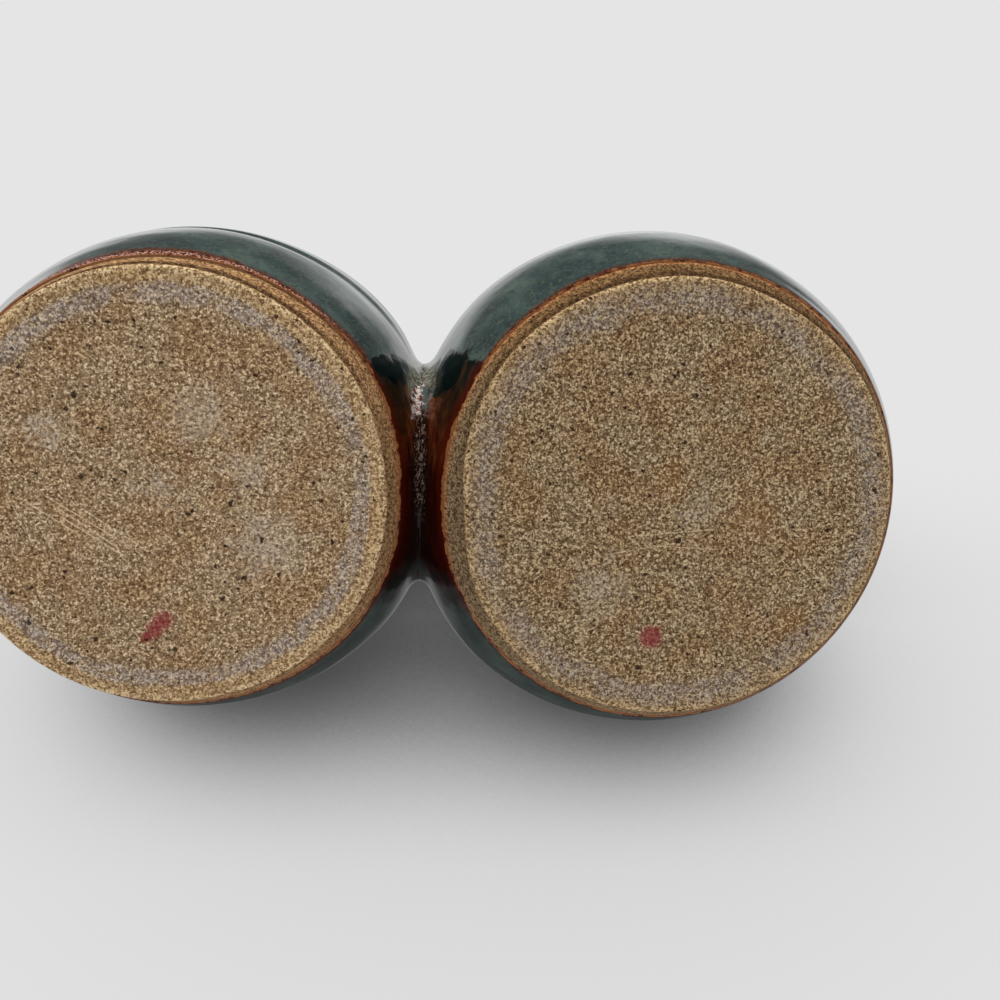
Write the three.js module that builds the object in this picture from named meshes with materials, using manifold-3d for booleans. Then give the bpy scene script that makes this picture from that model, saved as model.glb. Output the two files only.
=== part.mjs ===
import * as THREE from 'three';
import { mergeVertices } from 'three/addons/utils/BufferGeometryUtils.js';
import Module from 'manifold-3d';

// A double bud vase. Two squat stoneware pots are thrown by themselves, pressed together at
// their bellies while the clay is still soft, and luted with slip. Each pot has a flat bare
// base, a turned bevel, a round belly, a narrow neck and a rolled lip. One glaze coat covers
// the outside from the glaze line to the lips and bridges the seam, and each pot is lined.
// Millimetres, +Z up, standing on both bases. +X runs from the left pot to the right pot.

// Both mouths are level.
const VASE_HEIGHT = 104;

// Left pot, by radius from its own axis
const LEFT_BASE_RADIUS = 38;
const LEFT_BEVEL_WIDTH = 2.2;
const LEFT_BELLY_SWELL = 8.8;
const LEFT_NECK_RADIUS = 13;
const LEFT_LIP_FLARE = 3.6;

// Left pot, by height: its bevel, the rise from there to the belly, and its neck with the lip
const LEFT_BEVEL_HEIGHT = 5.3;
const LEFT_BELLY_RISE = 32.7;
const LEFT_NECK_LENGTH = 24;

// Right pot, by radius from its own axis
const RIGHT_BASE_RADIUS = 40;
const RIGHT_BEVEL_WIDTH = 2.8;
const RIGHT_BELLY_SWELL = 9.2;
const RIGHT_NECK_RADIUS = 14;
const RIGHT_LIP_FLARE = 3.8;

// Right pot, by height: its bevel, the rise from there to the belly, and its neck with the lip
const RIGHT_BEVEL_HEIGHT = 4.7;
const RIGHT_BELLY_RISE = 28.8;
const RIGHT_NECK_LENGTH = 27;

// Walls, measured over the clay and both glazes
const BELLY_WALL = 6;
const NECK_WALL = 4.6;
const FLOOR_THICKNESS = 8;
const LIP_THICKNESS = 5.4;
const FLOOR_CORNER = 16;
const BASE_EDGE_ROUND = 0.9;

// How far the thrown curves follow through, as shares of the rise that they span
const BELLY_FULLNESS = 0.72;
const INSIDE_FULLNESS = 0.64;
const NECK_SWEEP = 0.26;
const FLARE_SWEEP = 0.38;
const CORNER_SWEEP = 0.45;

// Glaze and slip
const GLAZE_THICKNESS = 0.7;
const SLIP_THICKNESS = 1.2;
const PRESS_DEPTH = 11;
const SEAM_FILLET = 1.6;
const SEAM_BITE = 1.2;
const LAYER_GAP = 0.3;

// How far the forms under the glaze run past both of its ends, where they only cut
const OVERRUN = 3 * GLAZE_THICKNESS;

// Facets round a pot and round the seam, and steps along each stretch of a profile
const SEGMENTS = 28;
const SEAM_STEPS = 36;
const SEAM_ARC_STEPS = 3;
const ROUND_STEPS = 2;
const BELLY_STEPS = 4;
const SHOULDER_STEPS = 7;
const FLARE_STEPS = 3;
const INSIDE_FLARE_STEPS = 2;
const INSIDE_SHOULDER_STEPS = 5;
const BOWL_STEPS = 4;

// Points closer than this are one point, and this many halvings close in on a crossing.
const SAME_POINT = 1e-4;
const HALVINGS = 60;

// Colour and roughness of each fired material
const STONEWARE = { color: 0x83705a, roughness: 0.9 };
const SLIP = { color: 0x8c7b66, roughness: 0.95 };
const TEAL_GLAZE = { color: 0x3e5457, roughness: 0.15 };
const LINER_GLAZE = { color: 0x4b6163, roughness: 0.2 };

// How deep the clay lies under a glazed surface, and its wall beside the seam
const UNDER_GLAZE = GLAZE_THICKNESS + LAYER_GAP;
const SEAM_WALL = BELLY_WALL - UNDER_GLAZE;

const wasm = await Module();
wasm.setup();

const leftPot = potSizes({
  base: LEFT_BASE_RADIUS,
  bevelWidth: LEFT_BEVEL_WIDTH,
  bevelHeight: LEFT_BEVEL_HEIGHT,
  swell: LEFT_BELLY_SWELL,
  bellyRise: LEFT_BELLY_RISE,
  neck: LEFT_NECK_RADIUS,
  flare: LEFT_LIP_FLARE,
  neckLength: LEFT_NECK_LENGTH,
});

const rightPot = potSizes({
  base: RIGHT_BASE_RADIUS,
  bevelWidth: RIGHT_BEVEL_WIDTH,
  bevelHeight: RIGHT_BEVEL_HEIGHT,
  swell: RIGHT_BELLY_SWELL,
  bellyRise: RIGHT_BELLY_RISE,
  neck: RIGHT_NECK_RADIUS,
  flare: RIGHT_LIP_FLARE,
  neckLength: RIGHT_NECK_LENGTH,
});

// The pots stand side by side with their bellies pressed into each other, and the whole
// width is centred on the origin.
const axisDistance = leftPot.bellyRadius + rightPot.bellyRadius - PRESS_DEPTH;
const fullWidth = leftPot.bellyRadius + axisDistance + rightPot.bellyRadius;
leftPot.x = leftPot.bellyRadius - fullWidth / 2;
rightPot.x = leftPot.x + axisDistance;

// The flat seam plane passes where the two belly circles cross.
const seamX = leftPot.x + (
  axisDistance ** 2 + leftPot.bellyRadius ** 2 - rightPot.bellyRadius ** 2
) / (2 * axisDistance);

const vase = new THREE.Group();
vase.add(
  named('left_pot', pot(leftPot, -1), STONEWARE),
  named('right_pot', pot(rightPot, 1), STONEWARE),
  named('seam_slip', seamSlip(), SLIP),
  named('outer_glaze', outerGlaze(), TEAL_GLAZE),
  named('left_liner_glaze', linerGlaze(leftPot, -1), LINER_GLAZE),
  named('right_liner_glaze', linerGlaze(rightPot, 1), LINER_GLAZE),
);

export default vase;

// Turns one pot's sizes into its radii and heights, and draws its finished surface.
function potSizes(size) {
  const glazeRadius = size.base + size.bevelWidth;
  const bellyHeight = size.bevelHeight + size.bellyRise;
  const neckHeight = VASE_HEIGHT - size.neckLength;
  const sizes = {
    ...size,
    glazeRadius,
    bellyRadius: glazeRadius + size.swell,
    bellyHeight,
    neckHeight,
    shoulderRise: neckHeight - bellyHeight,
    lipRadius: size.neck + size.flare,
    lipHeight: VASE_HEIGHT - LIP_THICKNESS / 2,
  };
  const outside = outsidePath(sizes);
  const inside = insidePath(sizes);
  sizes.surface = [...outside, ...inside.slice(1)];
  sizes.crest = outside.length - 1;
  return sizes;
}

// The glazed outside, from just above the glaze line to the crest of the lip.
function outsidePath(sizes) {
  const { glazeRadius, bellyRadius, bellyHeight, neckHeight, lipRadius, lipHeight } = sizes;
  const lipRound = LIP_THICKNESS / 2;
  const foot = glazeRadius / bellyRadius;
  const depth = sizes.bellyRise / Math.sqrt(1 - foot * foot);
  const start = Math.asin((sizes.bellyRise - GLAZE_THICKNESS) / depth);
  const points = sampled(
    (u) => ellipsePoint(bellyRadius, bellyHeight, depth, -start * (1 - u)),
    BELLY_STEPS,
  );
  const shoulder = new THREE.Path();
  shoulder.moveTo(bellyRadius, bellyHeight);
  shoulder.bezierCurveTo(
    bellyRadius, bellyHeight + BELLY_FULLNESS * sizes.shoulderRise,
    sizes.neck, neckHeight - NECK_SWEEP * sizes.shoulderRise,
    sizes.neck, neckHeight,
  );
  const flare = new THREE.Path();
  flare.moveTo(sizes.neck, neckHeight);
  flare.bezierCurveTo(
    sizes.neck, neckHeight + FLARE_SWEEP * sizes.neckLength,
    lipRadius, lipHeight - FLARE_SWEEP * sizes.neckLength,
    lipRadius, lipHeight,
  );
  const lip = new THREE.Path();
  lip.absarc(lipRadius - lipRound, lipHeight, lipRound, 0, Math.PI / 2, false);
  points.push(...shoulder.getSpacedPoints(SHOULDER_STEPS).slice(1));
  points.push(...flare.getPoints(FLARE_STEPS).slice(1));
  points.push(...lip.getPoints(ROUND_STEPS).slice(1));
  return points;
}

// The glazed inside, from the crest of the lip down the neck to the middle of the floor.
function insidePath(sizes) {
  const { bellyHeight, neckHeight, lipHeight } = sizes;
  const lipRound = LIP_THICKNESS / 2;
  const mouth = sizes.lipRadius - LIP_THICKNESS;
  const bore = sizes.neck - NECK_WALL;
  const belly = sizes.bellyRadius - BELLY_WALL;
  const lip = new THREE.Path();
  lip.absarc(mouth + lipRound, lipHeight, lipRound, Math.PI / 2, Math.PI, false);
  const flare = new THREE.Path();
  flare.moveTo(mouth, lipHeight);
  flare.bezierCurveTo(
    mouth, lipHeight - FLARE_SWEEP * sizes.neckLength,
    bore, neckHeight + FLARE_SWEEP * sizes.neckLength,
    bore, neckHeight,
  );
  const shoulder = new THREE.Path();
  shoulder.moveTo(bore, neckHeight);
  shoulder.bezierCurveTo(
    bore, neckHeight - NECK_SWEEP * sizes.shoulderRise,
    belly, bellyHeight + INSIDE_FULLNESS * sizes.shoulderRise,
    belly, bellyHeight,
  );
  const bowl = new THREE.Path();
  bowl.moveTo(belly, bellyHeight);
  bowl.bezierCurveTo(
    belly, FLOOR_THICKNESS + CORNER_SWEEP * FLOOR_CORNER,
    sizes.base - BELLY_WALL, FLOOR_THICKNESS,
    sizes.base - FLOOR_CORNER, FLOOR_THICKNESS,
  );
  return [
    ...lip.getPoints(ROUND_STEPS),
    ...flare.getPoints(INSIDE_FLARE_STEPS).slice(1),
    ...shoulder.getSpacedPoints(INSIDE_SHOULDER_STEPS).slice(1),
    ...bowl.getPoints(BOWL_STEPS).slice(1),
    new THREE.Vector2(0, FLOOR_THICKNESS),
  ];
}

function sampled(curve, steps) {
  return Array.from({ length: steps + 1 }, (_, i) => curve(i / steps));
}

function ellipsePoint(radius, height, depth, angle) {
  return new THREE.Vector2(radius * Math.cos(angle), height + depth * Math.sin(angle));
}

// Moves a path sideways by a distance, outwards from the clay when the distance is positive.
function shifted(path, distance) {
  return path.map((point, i) => {
    const normal = pathNormal(path, i);
    return point.clone().addScaledVector(normal.direction, distance / normal.spread);
  });
}

// The direction that faces away from the clay at a point, and the cosine of half the bend.
function pathNormal(path, i) {
  const before = path[Math.max(i - 1, 0)];
  const after = path[Math.min(i + 1, path.length - 1)];
  const first = path[i].clone().sub(before);
  const second = after.clone().sub(path[i]);
  if (first.length() === 0) first.copy(second);
  if (second.length() === 0) second.copy(first);
  first.normalize();
  second.normalize();
  const along = first.clone().add(second).normalize();
  return {
    direction: new THREE.Vector2(along.y, -along.x),
    spread: along.dot(first),
  };
}

// A solid of revolution round a pot's axis, from an outline that starts and ends on the axis.
function turned(outline, x) {
  const lathe = new THREE.LatheGeometry(outline, SEGMENTS);
  lathe.rotateX(Math.PI / 2);
  lathe.translate(x, 0, 0);
  return solidOf(lathe);
}

function solidOf(geometry) {
  geometry.deleteAttribute('normal');
  geometry.deleteAttribute('uv');
  const merged = mergeVertices(geometry, SAME_POINT);
  const index = merged.index.array;
  const corners = [];
  for (let i = 0; i < index.length; i += 3) {
    const [a, b, c] = [index[i], index[i + 1], index[i + 2]];
    if (a !== b && b !== c && c !== a) corners.push(a, b, c);
  }
  return new wasm.Manifold(new wasm.Mesh({
    numProp: 3,
    vertProperties: new Float32Array(merged.attributes.position.array),
    triVerts: new Uint32Array(corners),
  }));
}

// Everything on one side of a plane across X: side -1 keeps what lies below x, +1 above it.
// Its box reaches well past the vase on every other side.
function halfSpace(x, side) {
  const reach = 2 * fullWidth;
  const box = new THREE.BoxGeometry(reach, reach, 2 * reach);
  box.translate(x + side * reach / 2, 0, 0);
  return solidOf(box);
}

// The glazed form of a pot at some depth below its finished surface, filled in and closed
// over its mouth. At depth 0 the glaze ends in a rounded bead. Deeper forms run past both ends.
function glazedForm(sizes, depth) {
  const path = shifted(sizes.surface, -depth).slice(0, sizes.crest + 1);
  const overrun = depth > 0 ? OVERRUN - depth : 0;
  const low = sizes.bevelHeight - overrun;
  const crest = path[path.length - 1];
  const bead = depth > 0 ? [new THREE.Vector2(path[0].x, low)] : glazeBead(path[0]);
  const outline = [
    new THREE.Vector2(0, low),
    ...bead,
    ...path,
    new THREE.Vector2(crest.x, crest.y + depth + overrun),
    new THREE.Vector2(0, crest.y + depth + overrun),
  ];
  return turned(withoutRepeats(outline), sizes.x);
}

// The lower edge of the coat, a quarter round that ends where the glazed surface starts.
function glazeBead(top) {
  const bead = new THREE.Path();
  const round = GLAZE_THICKNESS;
  bead.absarc(top.x - round, top.y, round, -Math.PI / 2, 0, false);
  return bead.getPoints(ROUND_STEPS).slice(0, -1);
}

// The bare clay of a pot, filled in: flat base, eased edge, turned bevel, then the body
// under its glaze up to the lip.
function clayForm(sizes) {
  const body = shifted(sizes.surface, -UNDER_GLAZE).slice(0, sizes.crest + 1);
  const edge = new THREE.Path();
  const round = BASE_EDGE_ROUND;
  edge.absarc(sizes.base - round, round, round, -Math.PI / 2, 0, false);
  const outline = [
    new THREE.Vector2(0, 0),
    ...edge.getPoints(ROUND_STEPS),
    ...body,
    new THREE.Vector2(0, body[body.length - 1].y),
  ];
  return turned(outline, sizes.x);
}

// The space inside a pot, grown into the clay by some depth and carried out past its mouth.
function insideForm(sizes, depth) {
  const path = shifted(sizes.surface, -depth).slice(sizes.crest);
  const top = VASE_HEIGHT + LIP_THICKNESS;
  const outline = [
    new THREE.Vector2(0, top),
    new THREE.Vector2(path[0].x, top),
    ...path,
  ];
  return turned(outline.reverse(), sizes.x);
}

function withoutRepeats(outline) {
  return outline.filter((point, i) => i === 0 || point.distanceTo(outline[i - 1]) > SAME_POINT);
}

// One thrown pot: its body is flat where it meets the seam, and so is its inside there, so
// that the wall keeps its thickness.
function pot(sizes, side) {
  const face = seamX + side * (SLIP_THICKNESS / 2 + LAYER_GAP);
  const inner = face + side * SEAM_WALL;
  const body = clayForm(sizes).intersect(halfSpace(face, side));
  return body.subtract(insideForm(sizes, UNDER_GLAZE).intersect(halfSpace(inner, side)));
}

// The glaze that lines a pot, from just inside the crest of its lip.
function linerGlaze(sizes, side) {
  const outer = seamX + side * (SLIP_THICKNESS / 2 + LAYER_GAP + SEAM_WALL + LAYER_GAP);
  const inner = outer + side * GLAZE_THICKNESS;
  const coat = insideForm(sizes, GLAZE_THICKNESS).intersect(halfSpace(outer, side));
  const space = insideForm(sizes, 0).intersect(halfSpace(inner, side));
  return coat.subtract(space).subtract(lipGap(sizes));
}

// A thin upright ring that keeps the liner clear of the outer coat on the crest of the lip.
function lipGap(sizes) {
  const crest = sizes.surface[sizes.crest];
  const low = crest.y - GLAZE_THICKNESS - LAYER_GAP;
  const high = crest.y + LIP_THICKNESS;
  const inner = crest.x - LAYER_GAP;
  const outer = crest.x + LAYER_GAP;
  return turned([
    new THREE.Vector2(inner, low),
    new THREE.Vector2(outer, low),
    new THREE.Vector2(outer, high),
    new THREE.Vector2(inner, high),
    new THREE.Vector2(inner, low),
  ], sizes.x);
}

// The coat over both pots, one unbroken skin that bridges the seam in a fillet.
function outerGlaze() {
  return joinedForm(0).subtract(joinedForm(GLAZE_THICKNESS));
}

function joinedForm(depth) {
  return glazedForm(leftPot, depth).add(glazedForm(rightPot, depth)).add(seamFillet(depth));
}

// The slip between the two flats, squeezed out all round and smoothed into a fillet.
function seamSlip() {
  const left = seamX - SLIP_THICKNESS / 2;
  const right = seamX + SLIP_THICKNESS / 2;
  const near = halfSpace(seamX + PRESS_DEPTH, -1).intersect(halfSpace(seamX - PRESS_DEPTH, 1));
  return joinedForm(UNDER_GLAZE).intersect(near)
    .subtract(glazedForm(leftPot, GLAZE_THICKNESS).intersect(halfSpace(left, -1)))
    .subtract(glazedForm(rightPot, GLAZE_THICKNESS).intersect(halfSpace(right, 1)));
}

// The fillet that a ball leaves when it rolls round the seam and touches both pots. The ball's
// centre keeps one route at every depth, and only its radius grows.
function seamFillet(depth) {
  const radius = SEAM_FILLET + depth;
  const rings = ballRoute().map(({ centre, toLeft, toRight }) => {
    const inward = toLeft.clone().add(toRight).normalize();
    const valley = radius / inward.dot(toLeft);
    const out = (direction, reach) => centre.clone().addScaledVector(direction, reach);
    return [
      out(toLeft, radius + SEAM_BITE),
      ...sampled((u) => out(between(toLeft, toRight, u), radius), SEAM_ARC_STEPS),
      out(toRight, radius + SEAM_BITE),
      out(inward, valley + SEAM_FILLET),
    ];
  });
  return solidOf(closedSweep(rings));
}

// The ball's centres round the seam, each with its directions to the two points it touches.
function ballRoute() {
  const left = ballSurface(leftPot);
  const right = ballSurface(rightPot);
  const middle = (leftPot.bellyHeight + rightPot.bellyHeight) / 2;
  return Array.from({ length: SEAM_STEPS }, (_, i) => {
    const angle = 2 * Math.PI * i / SEAM_STEPS;
    const out = new THREE.Vector2(Math.cos(angle), Math.sin(angle));
    const overlap = (reach) => {
      const z = middle + reach * out.y;
      return left.reach(reach * out.x, z) + right.reach(reach * out.x, z) - axisDistance;
    };
    const reach = zeroOf(overlap, 0, fullWidth);
    const y = reach * out.x;
    const z = middle + reach * out.y;
    const centre = new THREE.Vector3(leftPot.x + left.reach(y, z), y, z);
    return { centre, toLeft: left.inward(centre), toRight: right.inward(centre) };
  });
}

// The surface on which the ball's centre lies while the ball touches one pot.
function ballSurface(sizes) {
  const outside = sizes.surface.slice(0, sizes.crest);
  const path = shifted(outside, SEAM_FILLET);
  const normals = outside.map((_, i) => pathNormal(outside, i).direction);
  const at = (z) => {
    const next = path.findIndex((point) => point.y > z);
    if (next < 1) return null;
    const share = (z - path[next - 1].y) / (path[next].y - path[next - 1].y);
    return {
      radius: THREE.MathUtils.lerp(path[next - 1].x, path[next].x, share),
      normal: normals[next - 1].clone().lerp(normals[next], share).normalize(),
    };
  };
  return {
    // How far the surface reaches from the pot's axis, along X, at one y and z.
    reach(y, z) {
      const ring = at(z);
      if (ring === null || Math.abs(y) >= ring.radius) return -axisDistance;
      return Math.sqrt(ring.radius ** 2 - y * y);
    },
    inward(centre) {
      const { normal } = at(centre.z);
      const across = new THREE.Vector2(centre.x - sizes.x, centre.y).normalize();
      return new THREE.Vector3(-normal.x * across.x, -normal.x * across.y, -normal.y);
    },
  };
}

// Halves an interval until it closes on the place where a falling function crosses zero.
function zeroOf(f, low, high) {
  let [a, b] = [low, high];
  for (let i = 0; i < HALVINGS; i++) {
    const half = (a + b) / 2;
    if (f(half) > 0) a = half;
    else b = half;
  }
  return a;
}

// Turns evenly from one direction to another.
function between(from, to, share) {
  const angle = from.angleTo(to);
  return from.clone().multiplyScalar(Math.sin((1 - share) * angle))
    .addScaledVector(to, Math.sin(share * angle))
    .divideScalar(Math.sin(angle));
}

// A closed ring of sections, each a closed loop with the same number of points.
function closedSweep(rings) {
  const size = rings[0].length;
  const geometry = new THREE.BufferGeometry().setFromPoints(rings.flat());
  const index = [];
  for (let i = 0; i < rings.length; i++) {
    const here = i * size;
    const next = ((i + 1) % rings.length) * size;
    for (let j = 0; j < size; j++) {
      const k = (j + 1) % size;
      index.push(here + j, next + j, next + k, here + j, next + k, here + k);
    }
  }
  geometry.setIndex(index);
  return geometry;
}

function named(name, solid, look) {
  const { vertProperties, triVerts } = solid.getMesh();
  const geometry = new THREE.BufferGeometry();
  geometry.setAttribute('position', new THREE.BufferAttribute(vertProperties, 3));
  geometry.setIndex(new THREE.BufferAttribute(triVerts, 1));
  geometry.computeVertexNormals();
  const material = new THREE.MeshStandardMaterial({ ...look, metalness: 0 });
  const mesh = new THREE.Mesh(geometry, material);
  mesh.name = name;
  return mesh;
}
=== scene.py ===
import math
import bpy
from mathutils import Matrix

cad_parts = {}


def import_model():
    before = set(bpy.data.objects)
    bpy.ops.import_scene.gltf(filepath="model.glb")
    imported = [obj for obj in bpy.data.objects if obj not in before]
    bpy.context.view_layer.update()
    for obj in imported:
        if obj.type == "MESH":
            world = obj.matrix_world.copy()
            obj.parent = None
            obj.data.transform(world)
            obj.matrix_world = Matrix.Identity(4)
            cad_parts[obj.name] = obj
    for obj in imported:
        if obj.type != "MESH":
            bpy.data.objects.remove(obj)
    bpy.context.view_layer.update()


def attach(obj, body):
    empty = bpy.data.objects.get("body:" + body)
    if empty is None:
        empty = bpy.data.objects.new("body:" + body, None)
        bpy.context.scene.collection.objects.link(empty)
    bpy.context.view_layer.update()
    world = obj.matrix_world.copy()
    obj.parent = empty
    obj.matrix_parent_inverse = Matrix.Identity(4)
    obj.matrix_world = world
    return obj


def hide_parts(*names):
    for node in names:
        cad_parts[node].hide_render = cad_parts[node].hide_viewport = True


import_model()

# A double bud vase of two luted stoneware pots, lying on its side in the photograph with both
# bases towards the camera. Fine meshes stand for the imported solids, in the same frame. Sizes
# here are in millimetres up to the point where a mesh is made.
from types import SimpleNamespace

import bpy
import numpy as np
from mathutils import Quaternion, Vector

# The vase, as in the part's source
VASE_HEIGHT = 104
FLOOR_THICKNESS = 8
FLOOR_CORNER = 16
BELLY_WALL = 6
NECK_WALL = 4.6
LIP_ROUND = 2.7
BASE_EDGE_ROUND = 0.9
BELLY_FULLNESS = 0.72
INSIDE_FULLNESS = 0.64
NECK_SWEEP = 0.26
FLARE_SWEEP = 0.38
CORNER_SWEEP = 0.45
GLAZE_THICKNESS = 0.7
SEAM_X = -3.183
SEAM_FLAT = 0.9
SEAM_WALL = 5

# The blend that the glaze leaves in the valley between the pots, and the wider one at the
# valley's ends, where the walls were pushed in. The ends begin and are full at these distances
# from the middle, and on the clay they lie at this angle and between these heights.
SEAM_BLEND = 1.6
WEB_BLEND = 4.0
SEAM_ENDS = (13, 22)
DENT_ANGLE = 27
DENT_HEIGHTS = (8, 12, 52, 60)

# The glaze thins towards its lower edge and ends there in a rounded bead. The clay reaches a
# little into it, and the glaze inside begins just under its end.
EDGE_THICKNESS = 0.35
EDGE_TAPER = 5
CLAY_OVERLAP = 0.06
OVERLAP_DEPTH = 0.4
OVERLAP_FADE = (2.5, 5.5)

# The line that the turning tool left above the base's edge, and the share of the base's radius
# over which its edge gets uneven
GROOVE_HEIGHT = 1.5
GROOVE_WIDTH = 0.4
GROOVE_DEPTH = 0.42
UNEVEN_RIM = (0.72, 0.94)

# The slip between the flats: half its thickness, how deep its rim lies under the valley of the
# glaze, and how far that rim is rounded
SLIP_HALF = 0.6
SLIP_DEPTH = 1.3
SLIP_ROUND = 0.3

# Points on the curves of a profile
BELLY_POINTS = 160
SHOULDER_POINTS = 300
FLARE_POINTS = 120
INSIDE_SHOULDER_POINTS = 100
INSIDE_POINTS = 60
CREST_POINTS = 24

# Mesh resolution: columns round a pot, rows on each stretch of it, and distances between rows
COLUMNS = 200
BEAD_ROWS = 4
FOOT_ROWS = 16
SEAM_ROWS = 64
SHOULDER_ROWS = 14
BASE_ROWS = 24
EDGE_ROWS = 7
BEVEL_ROWS = 17
ROW_STEP = 1.4
NECK_STEP = 1.1
LIP_STEP = 0.45
LOW_ROW = BEAD_ROWS + FOOT_ROWS
HIGH_ROW = LOW_ROW + SEAM_ROWS

# On the far side the rows beside the seam lie between the first two heights. Above the third a
# pot is plain and round.
FAR_LOW = 14.5
FAR_HIGH = 57
PLAIN_HEIGHT = 66

# Rows are traced by rays that start at a share of the radius. No look depends on the seam from
# farther than FAR.
RAYS = 720
RAY_START = 0.72
RAY_END = 150
SETTLING_PASSES = 3
HALVINGS = 44
SLOPE_REACH = 0.02
FAR = 60.0
TINY = 1e-6


def pot(name, x, toward, base, bevel_width, bevel, swell, belly_rise, neck, flare, neck_length, dent):
    """One pot's sizes. toward is +1 or -1, the way along X to the other pot, and dent says how
    deep and how far along X its wall is pushed in at the ends of the seam."""
    p = SimpleNamespace(name=name, x=x, toward=toward, base=base, bevel=bevel, neck=neck, dent=dent,
                        belly_rise=belly_rise, neck_length=neck_length)
    p.foot = base + bevel_width
    p.belly = p.foot + swell
    p.belly_z = bevel + belly_rise
    p.neck_z = VASE_HEIGHT - neck_length
    p.lip = neck + flare
    p.lip_z = VASE_HEIGHT - LIP_ROUND
    p.outside = outside_path(p)
    p.inside = inside_path(p)
    radii, heights = p.outside.T
    lean = np.gradient(radii) / np.maximum(np.gradient(heights), 1e-4)
    p.radius = lambda z: np.interp(z, heights, radii)
    p.stretch = lambda z: np.hypot(1, np.interp(z, heights, lean))
    return p


def bezier(points, count):
    t = np.linspace(0, 1, count)[:, None]
    a, b, c, d = (np.array(q, float) for q in points)
    return a * (1 - t) ** 3 + 3 * b * t * (1 - t) ** 2 + 3 * c * t * t * (1 - t) + d * t ** 3


def upright(start, leaving, arriving, end, count):
    """A curve that leaves its start and reaches its end straight up or down."""
    return bezier([start, (start[0], start[1] + leaving), (end[0], end[1] - arriving), end], count)


def arc(x, z, radius, start, end, count):
    angle = np.radians(np.linspace(start, end, count))
    return np.stack([x + radius * np.cos(angle), z + radius * np.sin(angle)], 1)


def outside_path(p):
    """Radius and height of the finished outside, from below the glaze line to the lip's crest."""
    depth = p.belly_rise / math.sqrt(1 - (p.foot / p.belly) ** 2)
    start = -math.asin((p.belly_rise + 3) / depth)
    angle = np.linspace(start, 0, BELLY_POINTS)
    ellipse = np.stack([p.belly * np.cos(angle), p.belly_z + depth * np.sin(angle)], 1)
    rise, sweep = p.neck_z - p.belly_z, FLARE_SWEEP * p.neck_length
    shoulder = upright((p.belly, p.belly_z), BELLY_FULLNESS * rise, NECK_SWEEP * rise,
                       (p.neck, p.neck_z), SHOULDER_POINTS)
    flare = upright((p.neck, p.neck_z), sweep, sweep, (p.lip, p.lip_z), FLARE_POINTS)
    crest = arc(p.lip - LIP_ROUND, p.lip_z, LIP_ROUND, 0, 90, CREST_POINTS)
    return np.concatenate([ellipse, shoulder[1:], flare[1:], crest[1:]])


def inside_path(p):
    """Radius and height of the finished inside, from the lip's crest to the middle of the floor."""
    mouth, bore, belly = p.lip - 2 * LIP_ROUND, p.neck - NECK_WALL, p.belly - BELLY_WALL
    rise, sweep = p.neck_z - p.belly_z, FLARE_SWEEP * p.neck_length
    crest = arc(p.lip - LIP_ROUND, p.lip_z, LIP_ROUND, 90, 180, CREST_POINTS)
    flare = upright((mouth, p.lip_z), -sweep, -sweep, (bore, p.neck_z), INSIDE_POINTS)
    shoulder = upright((bore, p.neck_z), -NECK_SWEEP * rise, -INSIDE_FULLNESS * rise,
                       (belly, p.belly_z), INSIDE_SHOULDER_POINTS)
    bowl = bezier([(belly, p.belly_z), (belly, FLOOR_THICKNESS + CORNER_SWEEP * FLOOR_CORNER),
                   (p.base - BELLY_WALL, FLOOR_THICKNESS),
                   (p.base - FLOOR_CORNER, FLOOR_THICKNESS)], INSIDE_POINTS)
    floor = np.array([[0, FLOOR_THICKNESS]])
    return np.concatenate([crest, flare[1:], shoulder[1:], bowl[1:], floor])


LEFT = pot("left_pot", x=-46.5, toward=1, base=38, bevel_width=2.2, bevel=5.3, swell=8.8,
           belly_rise=32.7, neck=13, flare=3.6, neck_length=24, dent=(0.6, 3.5))
RIGHT = pot("right_pot", x=43.5, toward=-1, base=40, bevel_width=2.8, bevel=4.7, swell=9.2,
            belly_rise=28.8, neck=14, flare=3.8, neck_length=27, dent=(1.1, 7.0))


def smooth(low, high, value):
    t = np.clip((value - low) / (high - low), 0, 1)
    return t * t * (3 - 2 * t)


def within(value, start, full, fading, end):
    """0 before start and after end, 1 from full to fading."""
    return smooth(start, full, value) * (1 - smooth(fading, end, value))


def distance_along(path):
    """How far along a path, or along each column of a grid, every point lies."""
    steps = np.linalg.norm(np.diff(path, axis=0), axis=-1)
    return np.concatenate([np.zeros_like(steps[:1]), np.cumsum(steps, axis=0)])


def even(path, steps):
    """The path with points at an even distance, one more than the steps."""
    length = distance_along(path)
    at = np.linspace(0, length[-1], steps + 1)
    return np.stack([np.interp(at, length, values) for values in path.T], 1)


def resampled(path, spacing):
    """The path with points at an even distance, about spacing apart."""
    return even(path, max(1, round(distance_along(path)[-1] / spacing)))


def path_normals(path):
    along = np.gradient(path, axis=0)
    along /= np.maximum(np.hypot(*along.T), 1e-9)[:, None]
    return np.stack([along[:, 1], -along[:, 0]], 1)


def stand_off(path, depth):
    """The path moved by depth into the clay."""
    return path - path_normals(path) * np.broadcast_to(depth, len(path))[:, None]


def ripple(points, wavelength, seed, count=14):
    """A smooth random field between about -1 and 1, with features of one size in mm."""
    draw = np.random.default_rng(seed)
    waves = draw.normal(size=(count, 3))
    waves /= np.linalg.norm(waves, axis=1)[:, None]
    waves *= 2 * np.pi / wavelength * draw.uniform(0.6, 1.5, count)[:, None]
    phase = draw.uniform(0, 2 * np.pi, count)
    return np.sin(points @ waves.T + phase).sum(-1) / 5


# The outer surface: both pots and the blend between them as one level set

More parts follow.
